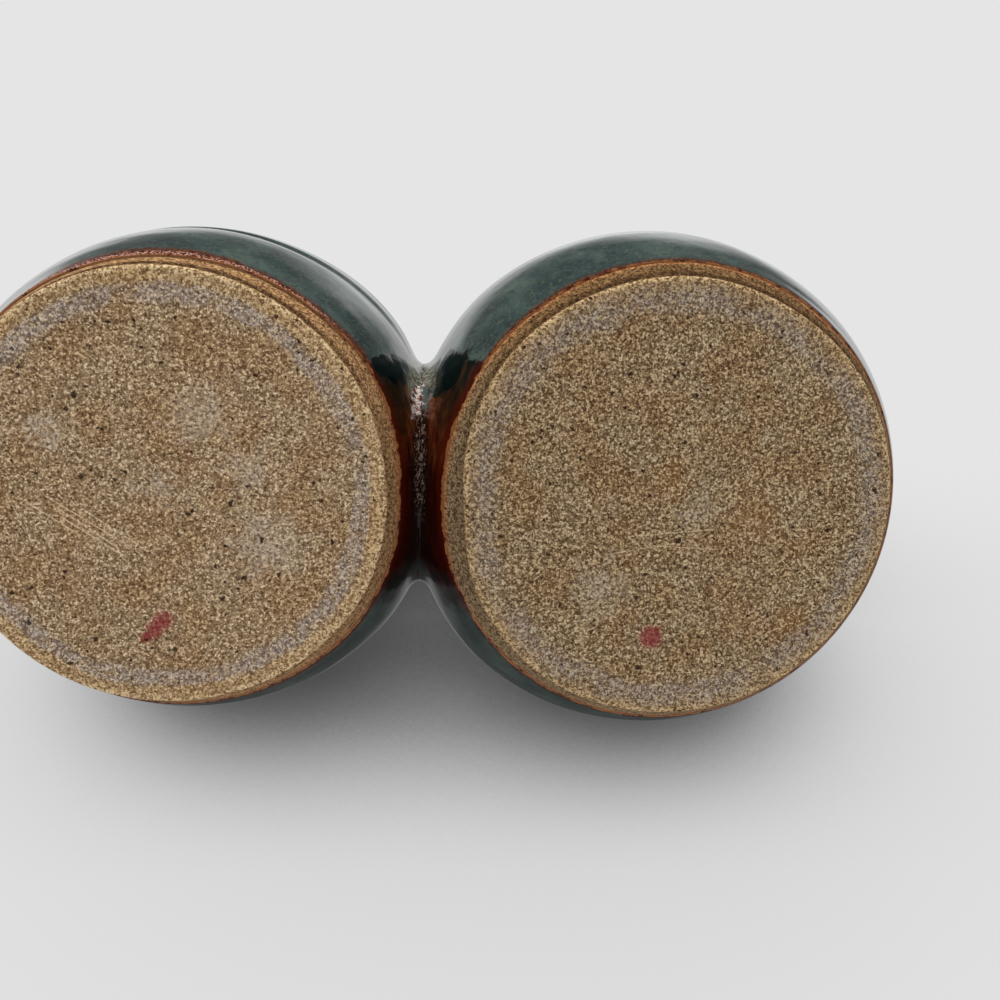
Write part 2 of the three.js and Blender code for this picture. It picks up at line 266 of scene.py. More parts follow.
def off_pot(p, x, y, z, end):
    """About how far a point lies off one pot, whose wall is pushed in at the ends of the seam."""
    push, reach = p.dent
    off = (np.hypot(x - p.x, y) - p.radius(z)) / p.stretch(z)
    return off + end * push * np.exp(-((x - SEAM_X) / reach) ** 2)


def level(x, y, z):
    """About how far a point lies off the outside of both pots together, below 0 inside."""
    end = smooth(*SEAM_ENDS, np.abs(y))
    left, right = (off_pot(p, x, y, z, end) for p in (LEFT, RIGHT))
    blend = SEAM_BLEND + (WEB_BLEND - SEAM_BLEND) * end
    near = np.hypot(np.maximum(blend - left, 0), np.maximum(blend - right, 0))
    return np.maximum(blend, np.minimum(left, right)) - near


def level_at(points):
    return level(*np.moveaxis(points, -1, 0))


def level_slope(points):
    """The way straight out of the surface at each point, as long as the level is steep."""
    slope = []
    for step in SLOPE_REACH * np.eye(3):
        slope.append((level_at(points + step) - level_at(points - step)) / (2 * SLOPE_REACH))
    return np.stack(slope, -1)


def bisect(f, low, high):
    """Where f turns from negative to positive, for arrays of intervals."""
    low, high = np.array(low, float), np.array(high, float)
    for _ in range(HALVINGS):
        half = (low + high) / 2
        inside = f(half) < 0
        low, high = np.where(inside, half, low), np.where(inside, high, half)
    return (low + high) / 2


def valley_x(z):
    """The bottom of the valley between the pots at one height."""
    a, b = 1 / LEFT.stretch(z), 1 / RIGHT.stretch(z)
    left, right = LEFT.x + LEFT.radius(z), RIGHT.x - RIGHT.radius(z)
    return (SEAM_BLEND * (a - b) + left * a ** 2 + right * b ** 2) / (a ** 2 + b ** 2)


def valley_y(z):
    """Half the width of the seam at one height, from the middle to the valley's surface."""
    return bisect(lambda y: level(valley_x(z), y, z), np.zeros_like(z), np.full_like(z, FAR))


# The seam's ends, which lie below and above the middle of the bellies, within these heights
SEAM_SEARCH = (6.5, 70)
middle = (LEFT.belly_z + RIGHT.belly_z) / 2
SEAM_LOW = float(bisect(lambda z: -level(valley_x(z), 0, z), SEAM_SEARCH[0], middle))
SEAM_HIGH = float(bisect(lambda z: level(valley_x(z), 0, z), middle, SEAM_SEARCH[1]))


def seam_side(count):
    """Half widths and heights of the seam from its lowest to its highest point."""
    turn = np.linspace(0, np.pi, count)
    z = (SEAM_LOW + SEAM_HIGH) / 2 - (SEAM_HIGH - SEAM_LOW) / 2 * np.cos(turn)
    y = valley_y(z)
    y[0] = y[-1] = 0
    return np.stack([y, z], 1)


def seam_heights():
    """Heights along the seam from its lowest to its highest point, evenly spaced on its curve."""
    return even(seam_side(1500), SEAM_ROWS)[:, 1]


# Where the thrown and wiped edges leave their circles, read off the camera fit. Each entry has an
# angle and a half width in degrees and a size in mm. The angle is 0 towards the other pot and
# grows over -Y, which is the top of the photograph. Small waves run all round the glaze's edge.
GLAZE_EDGE_LIFTS = {
    "left_pot": [(33, 12, 1.2), (2, 12, -0.9), (98, 20, -0.5), (324, 20, 1.0)],
    "right_pot": [(322, 20, 0.8), (2, 14, -0.5), (80, 20, 0.25), (129, 12, -0.3)],
}
BASE_EDGE_LIFTS = {
    "left_pot": [(6, 12, -0.35), (50, 30, -0.15), (115, 25, 0.12), (280, 28, -0.3), (333, 9, 0.2)],
    "right_pot": [(-4, 15, -1.1), (42, 17, 0.45), (118, 22, -0.5), (206, 26, -0.33), (306, 24, 0.4)],
}
EDGE_WAVES = [(7, 0.06), (13, 0.07), (23, 0.06), (41, 0.05), (67, 0.03)]


def lifts(angle, places):
    total = np.zeros_like(angle)
    for centre, width, size in places:
        away = (angle - math.radians(centre) + np.pi) % (2 * np.pi) - np.pi
        total += size * np.exp(-(away / math.radians(width)) ** 2)
    return total


def edge_wave(p, angle):
    """How far the glaze edge stands above its line, in mm, round the pot."""
    wave = lifts(angle, GLAZE_EDGE_LIFTS[p.name])
    for turns, size in EDGE_WAVES:
        wave += size * np.sin(turns * angle + turns * p.x)
    return wave


def outer_rows(p):
    """One pot's outside below the upper shoulder, as points in rows by columns by three. Column 0
    and the last column lie at the seam, and the columns run from it over -Y first. Rows between
    the seam's lowest and highest point stop in the valley, and the rest are closed rings."""
    ray = np.linspace(0, np.pi, RAYS)
    cos, sin = np.cos(ray), np.sin(ray)
    ahead = np.maximum(cos, TINY)
    lean = smooth(0, 0.8, ray / np.pi)
    share = np.linspace(0, 1, COLUMNS // 2 + 1)
    rows = []
    for k, (near, far) in enumerate(zip(*row_heights(p))):
        z = near + (far - near) * lean
        origin = RAY_START * p.radius(z) * (1 - smooth(SEAM_HIGH + 2, PLAIN_HEIGHT, z))
        border = p.toward * (valley_x(near) - p.x)
        limit = np.where(cos > TINY, np.minimum((border - origin) / ahead, RAY_END), RAY_END)

        def off(t):
            return level(p.x + p.toward * (origin + t * cos), t * sin, z)

        found = off(limit) > 0
        t = bisect(off, np.zeros_like(limit), limit)
        points = np.stack([origin + t * cos, t * sin, z], 1)
        if LOW_ROW <= k <= HIGH_ROW:
            y = float(valley_y(np.array([near]))[0]) if LOW_ROW < k < HIGH_ROW else 0
            past = ray > math.atan2(y, border - origin[0]) + 1e-4
            points = np.concatenate([[[border, y, near]], points[found & past]])
        length = distance_along(points)
        gather = 0.5 * (1 - smooth(SEAM_HIGH, PLAIN_HEIGHT, near))
        at = (share - gather / np.pi * np.sin(np.pi * share)) * length[-1]
        rows.append(np.stack([np.interp(at, length, values) for values in points.T], 1))
    rows = np.array(rows)
    whole = np.concatenate([rows * [1, -1, 1], rows[:, ::-1][:, 1:]], 1)
    fade = 1 - smooth(p.bevel, SEAM_LOW, whole[..., 2])
    whole[..., 2] += edge_wave(p, np.arctan2(-whole[..., 1], whole[..., 0])) * fade
    whole[..., 0] = p.x + p.toward * whole[..., 0]
    for _ in range(SETTLING_PASSES):
        slope = level_slope(whole)
        fall = level_at(whole) / (slope ** 2).sum(-1)
        whole = whole - fall[..., None] * slope
    return whole


def row_heights(p):
    """Heights of the rows beside the seam and on the far side of the pot."""
    bead = p.bevel + EDGE_THICKNESS * (1 - np.cos(np.linspace(0, np.pi / 2, BEAD_ROWS + 1)))
    low = bead[-1]
    foot = np.linspace(0, 1, FOOT_ROWS + 1)[1:]
    shoulder = np.linspace(0, 1, SHOULDER_ROWS + 1)[1:]
    near = [bead, low + (SEAM_LOW - low) * (1 - (1 - foot) ** 2), seam_heights()[1:],
            SEAM_HIGH + (PLAIN_HEIGHT - SEAM_HIGH) * shoulder ** 2]
    far = [bead, even_heights(p, low, FAR_LOW, FOOT_ROWS), even_heights(p, FAR_LOW, FAR_HIGH, SEAM_ROWS),
           even_heights(p, FAR_HIGH, PLAIN_HEIGHT, SHOULDER_ROWS)]
    return np.concatenate(near), np.concatenate(far)


def even_heights(p, low, high, steps):
    """Heights above one height and up to another, evenly spaced along the outline."""
    z = np.linspace(low, high, 400)
    return even(np.stack([p.radius(z), z], 1), steps)[1:, 1]


def ring(p, path, angles, out=0):
    """Points of revolution round a pot's axis, rows along the path and columns round the pot."""
    r, z = path[:, :1] + out, path[:, 1:]
    x = p.x + p.toward * r * np.cos(angles)
    return np.stack([x, -r * np.sin(angles), z + 0 * angles], -1)


def outside_above(p, height):
    """A pot's outside from one height up to the lip's crest."""
    return np.concatenate([[[p.radius(height), height]], p.outside[p.outside[:, 1] > height]])


def neck_rows(p):
    """Points and normals of the upper shoulder, neck and lip, and a little way into the mouth.
    The rows lie closer together over the lip, in its top 4 mm."""
    angles = np.linspace(0, 2 * np.pi, COLUMNS + 1)
    fine = resampled(np.concatenate([outside_above(p, PLAIN_HEIGHT), p.inside[1:40]]), 0.3)
    lip = np.argmax(fine[:, 1] > VASE_HEIGHT - 4)
    path = np.concatenate([resampled(fine[:lip + 1], NECK_STEP)[:-1], resampled(fine[lip:], LIP_STEP)])
    turned = ring(SimpleNamespace(x=0, toward=p.toward), path_normals(path), angles)
    return ring(p, path, angles)[1:], turned[1:]


def outer_surface(p):
    """Points and outward normals of one pot's whole finished outside."""
    low = outer_rows(p)
    slope = level_slope(low)
    normals = slope / np.linalg.norm(slope, axis=-1)[..., None]
    points, turned = neck_rows(p)
    return np.concatenate([low, points]), np.concatenate([normals, turned])


def seam_distance(points):
    """Distance in mm from the bottom of the valley that runs round the seam, up to FAR."""
    y, z = seam_side(160).T
    x = valley_x(z)
    flat = points.reshape(-1, 3)
    far = np.full(len(flat), FAR)
    for side in (1, -1):
        for part in np.split(np.stack([x, side * y, z], 1), 4):
            far = np.minimum(far, np.linalg.norm(flat[:, None] - part, axis=-1).min(1))
    return far.reshape(points.shape[:-1])


# Glaze that gathered in thick dark drops beside the seam, and drips: places and radii in mm
BLOBS = [((0.6, -23.4, 17.5), 3.6), ((1.8, -21.9, 12.8), 3.9), ((0.4, -19.6, 14.5), 2.8),
         ((-9.0, -22.2, 12.0), 3.0), ((-10.6, -22.4, 9.2), 2.2), ((-7.3, -21.2, 15.6), 2.3)]
DRIPS = [((-13.1, 26.3, 9.7), 1.4), ((-25.7, 38.2, 11.9), 1.3)]
BLOB_HEIGHT = 0.15

# A soft throwing ring on the left pot's belly and the groove below it: height, half width and
# how far each stands out, in mm, and the degrees round the pot between which they show
THROWING_RINGS = [(35.8, 3.6, 0.55), (30.2, 1.6, 0.25), (27.8, 1.5, -0.4)]
RING_ANGLES = (24, 50, 96, 125)

# The surface waves a little, and it lies deeper than its plain form, so that no wave leaves the
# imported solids' box.
SURFACE_DEPTH = 0.14


def shaped(p, points, rise, seam):
    """How far the finished surface stands off its plain form, in mm: the hand of the potter and
    the glaze that pooled."""
    lift = -SURFACE_DEPTH + 0.10 * ripple(points, 34, 3) + 0.02 * ripple(points * [1, 1, 2.5], 16, 4)
    for place, size in BLOBS + DRIPS:
        gap = np.linalg.norm(points - place, axis=-1)
        lift += BLOB_HEIGHT * (1 - smooth(0, 1.4 * size, gap))
    if p is LEFT:
        angle = np.degrees(np.arctan2(-points[..., 1], points[..., 0] - p.x))
        shown = within(angle, *RING_ANGLES) * smooth(1, 8, seam)
        for height, width, size in THROWING_RINGS:
            lift += size * shown * np.exp(-((points[..., 2] - height) / width) ** 2)
    return lift * smooth(0.5, 4, rise)


def mesh_object(name, vertices, faces, fields, material):
    mesh = bpy.data.meshes.new(name)
    mesh.from_pydata((np.asarray(vertices) / 1000).tolist(), [], faces)
    for field, values in fields.items():
        mesh.attributes.new(field, "FLOAT", "POINT").data.foreach_set("value", values)
    mesh.shade_smooth()
    mesh.materials.append(material)
    mesh.update()
    item = bpy.data.objects.new(name, mesh)
    bpy.context.scene.collection.objects.link(item)
    return item


def quads(grid, flip=False):
    """Faces between the neighbours of a grid of vertex numbers, without those that collapse."""
    a, b = grid[:-1, :-1].ravel(), grid[:-1, 1:].ravel()
    c, d = grid[1:, 1:].ravel(), grid[1:, :-1].ravel()
    faces = []
    for loop in zip(*((a, d, c, b) if flip else (a, b, c, d))):
        loop = [int(v) for i, v in enumerate(loop) if v != loop[i - 1]]
        if len(loop) > 2:
            faces.append(loop)
    return faces


def coat_thickness(rise):
    """Thickness of the glaze by the distance from its lower edge."""
    return EDGE_THICKNESS + (GLAZE_THICKNESS - EDGE_THICKNESS) * smooth(0, EDGE_TAPER, rise)


def outer_coat(material):
    """The glaze over the outside of both pots: one closed skin that bridges the seam."""
    vertices, faces = [], []
    fields = {"rise": [], "across": [], "around": []}
    grids = {}
    count = 0
    valley = slice(LOW_ROW, HIGH_ROW + 1)
    tuck = 1 - np.sin(np.linspace(0, np.pi / 2, BEAD_ROWS + 1))
    for p in (LEFT, RIGHT):
        points, normals = outer_surface(p)
        rows, columns = points.shape[:2]
        rise = distance_along(points)
        seam = seam_distance(points)
        angle = np.arctan2(-points[..., 1], p.toward * (points[..., 0] - p.x))
        thick = coat_thickness(rise)
        bead = np.zeros(rows)
        bead[:BEAD_ROWS + 1] = tuck
        bead[-BEAD_ROWS - 1:] = tuck[::-1]
        lift = shaped(p, points, rise, seam) - bead[:, None] * thick
        outer = points + normals * lift[..., None]
        inner = points - normals * thick[..., None]
        inner[0], inner[-1] = outer[0], outer[-1]
        closed = np.r_[:LOW_ROW + 1, HIGH_ROW:rows]
        for skin, surface in (("outer", outer), ("inner", inner)):
            grid = np.arange(rows * columns).reshape(rows, columns) + count
            grid[closed, -1] = grid[closed, 0]
            if skin == "inner":
                grid[[0, -1]] = grids[p.name, "outer"][[0, -1]]
            if p is RIGHT:
                grid[valley, 0] = grids[LEFT.name, skin][valley, 0]
                grid[valley, -1] = grids[LEFT.name, skin][valley, -1]
            grids[p.name, skin] = grid
            count += rows * columns
            vertices.append(surface.reshape(-1, 3))
            for field, values in zip(fields.values(), (rise, -p.toward * seam, np.degrees(angle))):
                field.append(values.ravel())
            faces += quads(grid, flip=(p is RIGHT) != (skin == "outer"))
    return welded("outer_glaze_coat", vertices, faces, fields, material)


def welded(name, vertices, faces, fields, material):
    """A mesh object of the vertices that its faces use."""
    vertices = np.concatenate(vertices)
    used = np.unique(np.fromiter((v for face in faces for v in face), int))
    number = np.full(len(vertices), -1)
    number[used] = np.arange(len(used))
    faces = [[int(number[v]) for v in face] for face in faces]
    fields = {key: np.concatenate(values)[used] for key, values in fields.items()}
    return mesh_object(name, vertices[used], faces, fields, material)


def turned_piece(name, p, path, material, limits, uneven=None):
    """A closed body of revolution. Its outline starts and ends on the axis. limits gives, for
    each row, how far the row may reach towards the other pot, where it is cut flat. uneven moves
    points outwards, by row and angle."""
    angles = np.linspace(0, 2 * np.pi, COLUMNS + 1)[:-1]
    points = ring(p, path, angles, uneven(angles) if uneven else 0)
    over = p.toward * (points[..., 0] - limits[:, None]) > 0
    points[..., 0] = np.where(over, limits[:, None], points[..., 0])
    rows = len(path)
    grid = np.arange(rows * COLUMNS).reshape(rows, COLUMNS)
    on_axis = path[:, 0] < TINY
    grid[on_axis] = grid[on_axis, :1]
    grid = np.concatenate([grid, grid[:, :1]], 1)
    faces = quads(grid, flip=p.toward > 0)
    rise = path[:, 1:] - p.bevel - edge_wave(p, angles)
    far = np.full(rows * COLUMNS, FAR)
    fields = {"radius": [np.repeat(path[:, 0], COLUMNS)], "height": [np.repeat(path[:, 1], COLUMNS)],
              "rise": [rise.ravel()], "across": [far], "around": [far * 3]}
    return welded(name, [points.reshape(-1, 3)], faces, fields, material)


def clay_body(p, material):
    """One pot's bare clay: flat base, eased edge, turned bevel, and the wall under the glazes."""
    flat = np.stack([np.linspace(0, p.base - BASE_EDGE_ROUND, BASE_ROWS), np.zeros(BASE_ROWS)], 1)
    edge = arc(p.base - BASE_EDGE_ROUND, BASE_EDGE_ROUND, BASE_EDGE_ROUND, -90, 0, EDGE_ROWS)[1:]
    body = resampled(np.concatenate([outside_above(p, p.bevel), p.inside[1:]]), ROW_STEP)
    body = stand_off(body, coat_thickness(distance_along(body)) - CLAY_OVERLAP)
    body[-1, 0] = 0
    bevel = np.linspace(edge[-1], body[0], BEVEL_ROWS)[1:-1]
    bevel[:, 0] -= GROOVE_DEPTH * np.exp(-((bevel[:, 1] - GROOVE_HEIGHT) / GROOVE_WIDTH) ** 2)
    path = np.concatenate([flat, edge, bevel, body])
    r, z = path.T
    outside = np.arange(len(path)) <= np.argmax(z)
    face = SEAM_X - p.toward * SEAM_FLAT
    limits = np.where(outside, face, face - p.toward * SEAM_WALL)
    start, full = UNEVEN_RIM
    rim = smooth(start * p.base, full * p.base, r) * (1 - smooth(1.0, p.bevel, z))
    dented = within(z, *DENT_HEIGHTS) * outside
    push, reach = p.dent
    dents = [(side * DENT_ANGLE, 4 + math.degrees(reach / p.belly), -push) for side in (-1, 1)]

    def uneven(angles):
        edge_off = rim[:, None] * lifts(angles, BASE_EDGE_LIFTS[p.name])
        return edge_off + dented[:, None] * lifts(angles, dents)

    return turned_piece(p.name + "_clay", p, path, material, limits, uneven)


def slip_slab(material):
    """The slip that joins the pots: a slab between their flats, with a rounded rim."""
    z = seam_heights()
    y = valley_y(z)
    y[0] = y[-1] = 0
    vertices = []
    for x, depth in ((-SLIP_HALF, SLIP_ROUND), (SLIP_ROUND - SLIP_HALF, 0),
                     (SLIP_HALF - SLIP_ROUND, 0), (SLIP_HALF, SLIP_ROUND)):
        line = stand_off(np.stack([y, z], 1), SLIP_DEPTH + depth)
        line[[0, -1], 0] = 0
        loop = np.concatenate([line, line[-2:0:-1] * [-1, 1]])
        vertices.append(np.concatenate([np.full((len(loop), 1), SEAM_X + x), loop], 1))
    count = len(vertices[0])
    grid = np.arange(len(vertices) * count).reshape(-1, count)
    faces = quads(np.concatenate([grid, grid[:, :1]], 1), flip=True)
    faces += [grid[0, ::-1].tolist(), grid[-1].tolist()]
    return mesh_object("seam_slip_slab", np.concatenate(vertices), faces, {}, material)


def lining(p, material):
    """The glaze inside one pot, from just under the end of the outer coat down to the floor."""
    path = resampled(p.inside, ROW_STEP)[1:]
    seen = stand_off(path, OVERLAP_DEPTH * (1 - smooth(*OVERLAP_FADE, distance_along(path))))
    back = stand_off(path, GLAZE_THICKNESS)
    seen[-1, 0] = back[-1, 0] = 0
    wall = SEAM_X - p.toward * (SEAM_FLAT + SEAM_WALL)
    limits = np.repeat([wall, wall - p.toward * GLAZE_THICKNESS], len(path))
    return turned_piece(p.name + "_lining", p, np.concatenate([back[::-1], seen]), material, limits)


# Materials. Every pattern is placed by the object's own coordinates or by fields on its mesh, so
# it stays put from every side.

class Shade:
    """A small builder for the nodes of a material or the world. Numbers and sockets can be mixed
    freely, and places are in mm."""

    def __init__(self, owner):
        self.owner = owner
        owner.use_nodes = True
        self.tree = owner.node_tree
        self.tree.nodes.clear()
        self.seen_at = self.node("TexCoord").outputs
        self.place = self.vector("MULTIPLY", self.seen_at["Object"], (1000, 1000, 1000))
        self.x, self.y, self.z = self.node("SeparateXYZ", {0: self.place}).outputs

    def node(self, kind, values=(), **settings):
        """A new node. values go into its sockets, by their number or name."""
        made = self.tree.nodes.new("ShaderNode" + kind)
        for key, value in settings.items():
            setattr(made, key, value)
        for key, value in dict(values).items():
            socket = made.inputs[key]
            if isinstance(value, bpy.types.NodeSocket):
                self.tree.links.new(value, socket)
            else:
                socket.default_value = (*value, 1) if socket.type == "RGBA" else value
        return made

    def math(self, operation, a, *others):
        """One value from a and each of the others in turn, or from a alone."""
        for b in others or (0.0,):
            a = self.node("Math", {0: a, 1: b}, operation=operation).outputs[0]
        return a

    def add(self, *values):
        return self.math("ADD", *values)

    def sub(self, *values):
        return self.math("SUBTRACT", *values)

    def mul(self, *values):
        return self.math("MULTIPLY", *values)

    def most(self, *values):
        return self.math("MAXIMUM", *values)

    def size(self, value):
        return self.math("ABSOLUTE", value)

    def vector(self, operation, a, b=(0, 0, 0)):
        made = self.node("VectorMath", {0: a, 1: b}, operation=operation)
        return made.outputs["Value" if operation in ("LENGTH", "DISTANCE", "DOT_PRODUCT") else "Vector"]

    def field(self, name):
        return self.node("Attribute", attribute_name=name).outputs["Fac"]

    def noise(self, scale, detail, rough, warp=0.0, place=None):
        values = {"Vector": self.place if place is None else place, "Scale": scale, "Detail": detail,
                  "Roughness": rough, "Distortion": warp}
        return self.node("TexNoise", values).outputs["Fac"]

    def cells(self, scale):
        """Voronoi cells: the distance to the nearest point, and a random number for its cell."""
        made = self.node("TexVoronoi", {"Vector": self.place, "Scale": scale}).outputs
        return made["Distance"], self.node("SeparateColor", {0: made["Color"]}).outputs[0]

    def shift(self, noise, size):
        """A noise as a shift both ways, by up to half of size."""
        return self.mul(self.sub(noise, 0.5), size)

    def step(self, value, low, high):
        """0 below low, 1 above high, and a smooth change between. low may be the larger one."""
        ends = (low, high, 0.0, 1.0) if low < high else (high, low, 1.0, 0.0)
        values = dict(enumerate((value, *ends)))
        return self.node("MapRange", values, interpolation_type="SMOOTHSTEP").outputs["Result"]

    def band(self, value, start, full, fading, end):
        """0 before start and after end, 1 from full to fading."""
        return self.mul(self.step(value, start, full), self.step(value, end, fading))

    def ramp(self, value, stops):
        made = self.node("ValToRGB", {0: value})
        band = made.color_ramp
        while len(band.elements) < len(stops):
            band.elements.new(0.5)
        for element, (at, colour) in zip(band.elements, stops):
            element.position = at
            element.color = (*colour, 1)
        return made.outputs["Color"]

    def mix(self, share, a, b, blend="MIX"):
        values = {0: share, 6: a, 7: b}
        return self.node("Mix", values, data_type="RGBA", blend_type=blend).outputs[2]

    def over(self, under, colour, *shares):
        """A colour over another one, by the product of the shares."""
        return self.mix(self.mul(*shares) if len(shares) > 1 else shares[0], under, colour)

    def lay(self, colour, *shares):
        """Lays a colour over the one that the material has so far."""
        self.colour = self.over(self.colour, colour, *shares)

    def near(self, point, radius, soft, wander):
        """1 inside a ball round a point, 0 outside, with an edge that a field shifts."""
        gap = self.add(self.vector("DISTANCE", self.place, point), wander)
        return self.step(gap, radius * (1 + soft), radius * (1 - soft))

    def stroke(self, start, end, width):
        """1 along a straight scratch on the base between two points, 0 away from it."""
        (x, y), (run, rise) = start, (end[0] - start[0], end[1] - start[1])
        length = math.hypot(run, rise)
        from_start = self.vector("SUBTRACT", self.place, (x, y, 0))
        along = self.vector("DOT_PRODUCT", from_start, (run / length, rise / length, 0))
        aside = self.vector("DOT_PRODUCT", from_start, (-rise / length, run / length, 0))
        line = self.step(self.size(aside), 1.6 * width, 0.6 * width)
        return self.mul(line, self.band(along, 0, 2, length - 2, length))

    def bump(self, height, strength, distance):
        values = {"Strength": strength, "Distance": distance / 1000, "Height": height}
        return self.node("Bump", values).outputs["Normal"]

    def finish(self, roughness, normal, **sockets):
        sockets.update(Base_Color=self.colour, Roughness=roughness, Normal=normal)
        values = {key.replace("_", " "): value for key, value in sockets.items()}
        return self.end(self.node("BsdfPrincipled", values))

    def end(self, shader, kind="Material"):
        self.node("Output" + kind, {"Surface": shader.outputs[0]})
        return self.owner


def new_material(name):
    return Shade(bpy.data.materials.new(name))


def rgb(red, green, blue):
    """A colour as it reads on screen, 0 to 255, for the shader."""
    channel = lambda c: c / 12.92 if c <= 0.04045 else ((c + 0.055) / 1.055) ** 2.4
    return tuple(channel(c / 255) for c in (red, green, blue))


# How the kiln left the two pots, and the marks on their bases. The tones make the left pot's clay
# lighter than the right's: partly kiln variation, partly painted light, the left pot painted as
# more lit. Places are in mm in the part's frame. A scratch has its two ends, and a cloud, a dab,
# a rusty patch and a large iron speck a middle and a radius. The halo starts, is full, fades and
# ends at its distances from the edge.
TONES_AND_PAINTED_LIGHT = {"left_pot": (1.46, 1.43, 1.37), "right_pot": (1.19, 1.15, 1.04)}
GRAIN = {"left_pot": 0.98, "right_pot": 1.2}
HALO = {"left_pot": (6.6, 5.2, 3.6, 2.2), "right_pot": (7.2, 4.6, 1.4, 0.4)}
BEVEL_CLAY = {
    "left_pot": (rgb(90, 58, 32), rgb(190, 146, 98)),
    "right_pot": (rgb(78, 58, 36), rgb(166, 140, 106)),
}
DABS = {
    "left_pot": [(-47.4, 22.5, 1.7), (-48.9, 24.2, 1.5), (-50.3, 25.6, 1)],
    "right_pot": [(39.9, 25.1, 2.1)],
}
RUST = {
    "left_pot": [(-43.2, -6.3, 1), (-76, -14, 3)],
    "right_pot": [(58.8, 2.7, 3.6), (42, -4, 3), (66, 22, 3)],
}
CLOUDS = {
    "left_pot": [(-40.7, -13, 3.6), (-47.2, -0.5, 2.4), (-65.5, -10.3, 2.2), (-32.1, -4.3, 3),
                 (-30, 9, 5)],
    "right_pot": [(47, 1, 2.4), (30, 16, 4)],
}
SPECKS = {
    "left_pot": [(-60.5, -16.3, 0.7), (-37.2, 18.5, 0.5), (-42.7, 3.6, 0.5), (-45.5, 27.8, 0.5),
                 (-63.5, 14, 0.45), (-52.8, -3.5, 0.4), (-46.4, -21.9, 0.4), (-21.5, -2.3, 0.4),
                 (-72.4, 17.9, 0.4)],
    "right_pot": [(22.6, 19, 0.5), (43.9, 6.9, 0.5), (71.7, 4.5, 0.5), (80, -3.2, 0.6),
                  (25, -7.8, 0.45), (43.9, 4.3, 0.4), (37.8, 31.2, 0.4), (43.9, -11, 0.4),
                  (42.6, -24.8, 0.4)],
}
SCRATCHES = {
    "left_pot": [((-67, 0.2), (-51, 10.4)), ((-65.6, 1.9), (-54, 10)),
                 ((-64, 4.2), (-52.5, 11.8)), ((-61, 2.4), (-49, 10.6)),
                 ((-70, 1.4), (-60, 8))],
    "right_pot": [((33, 6.4), (51, 4.6)), ((36.8, 7.8), (52, 8.4)), ((31, 9.6), (44, 7.2))],
}
SCRATCH_WIDTH = 0.11

# Iron specks strewn over the clay: how many cells there are in a mm, from which chance on a cell
# has a speck, and how large it gets
IRON = [(0.17, 0.66, 0.24), (0.3, 0.62, 0.34), (0.55, 0.6, 0.46)]


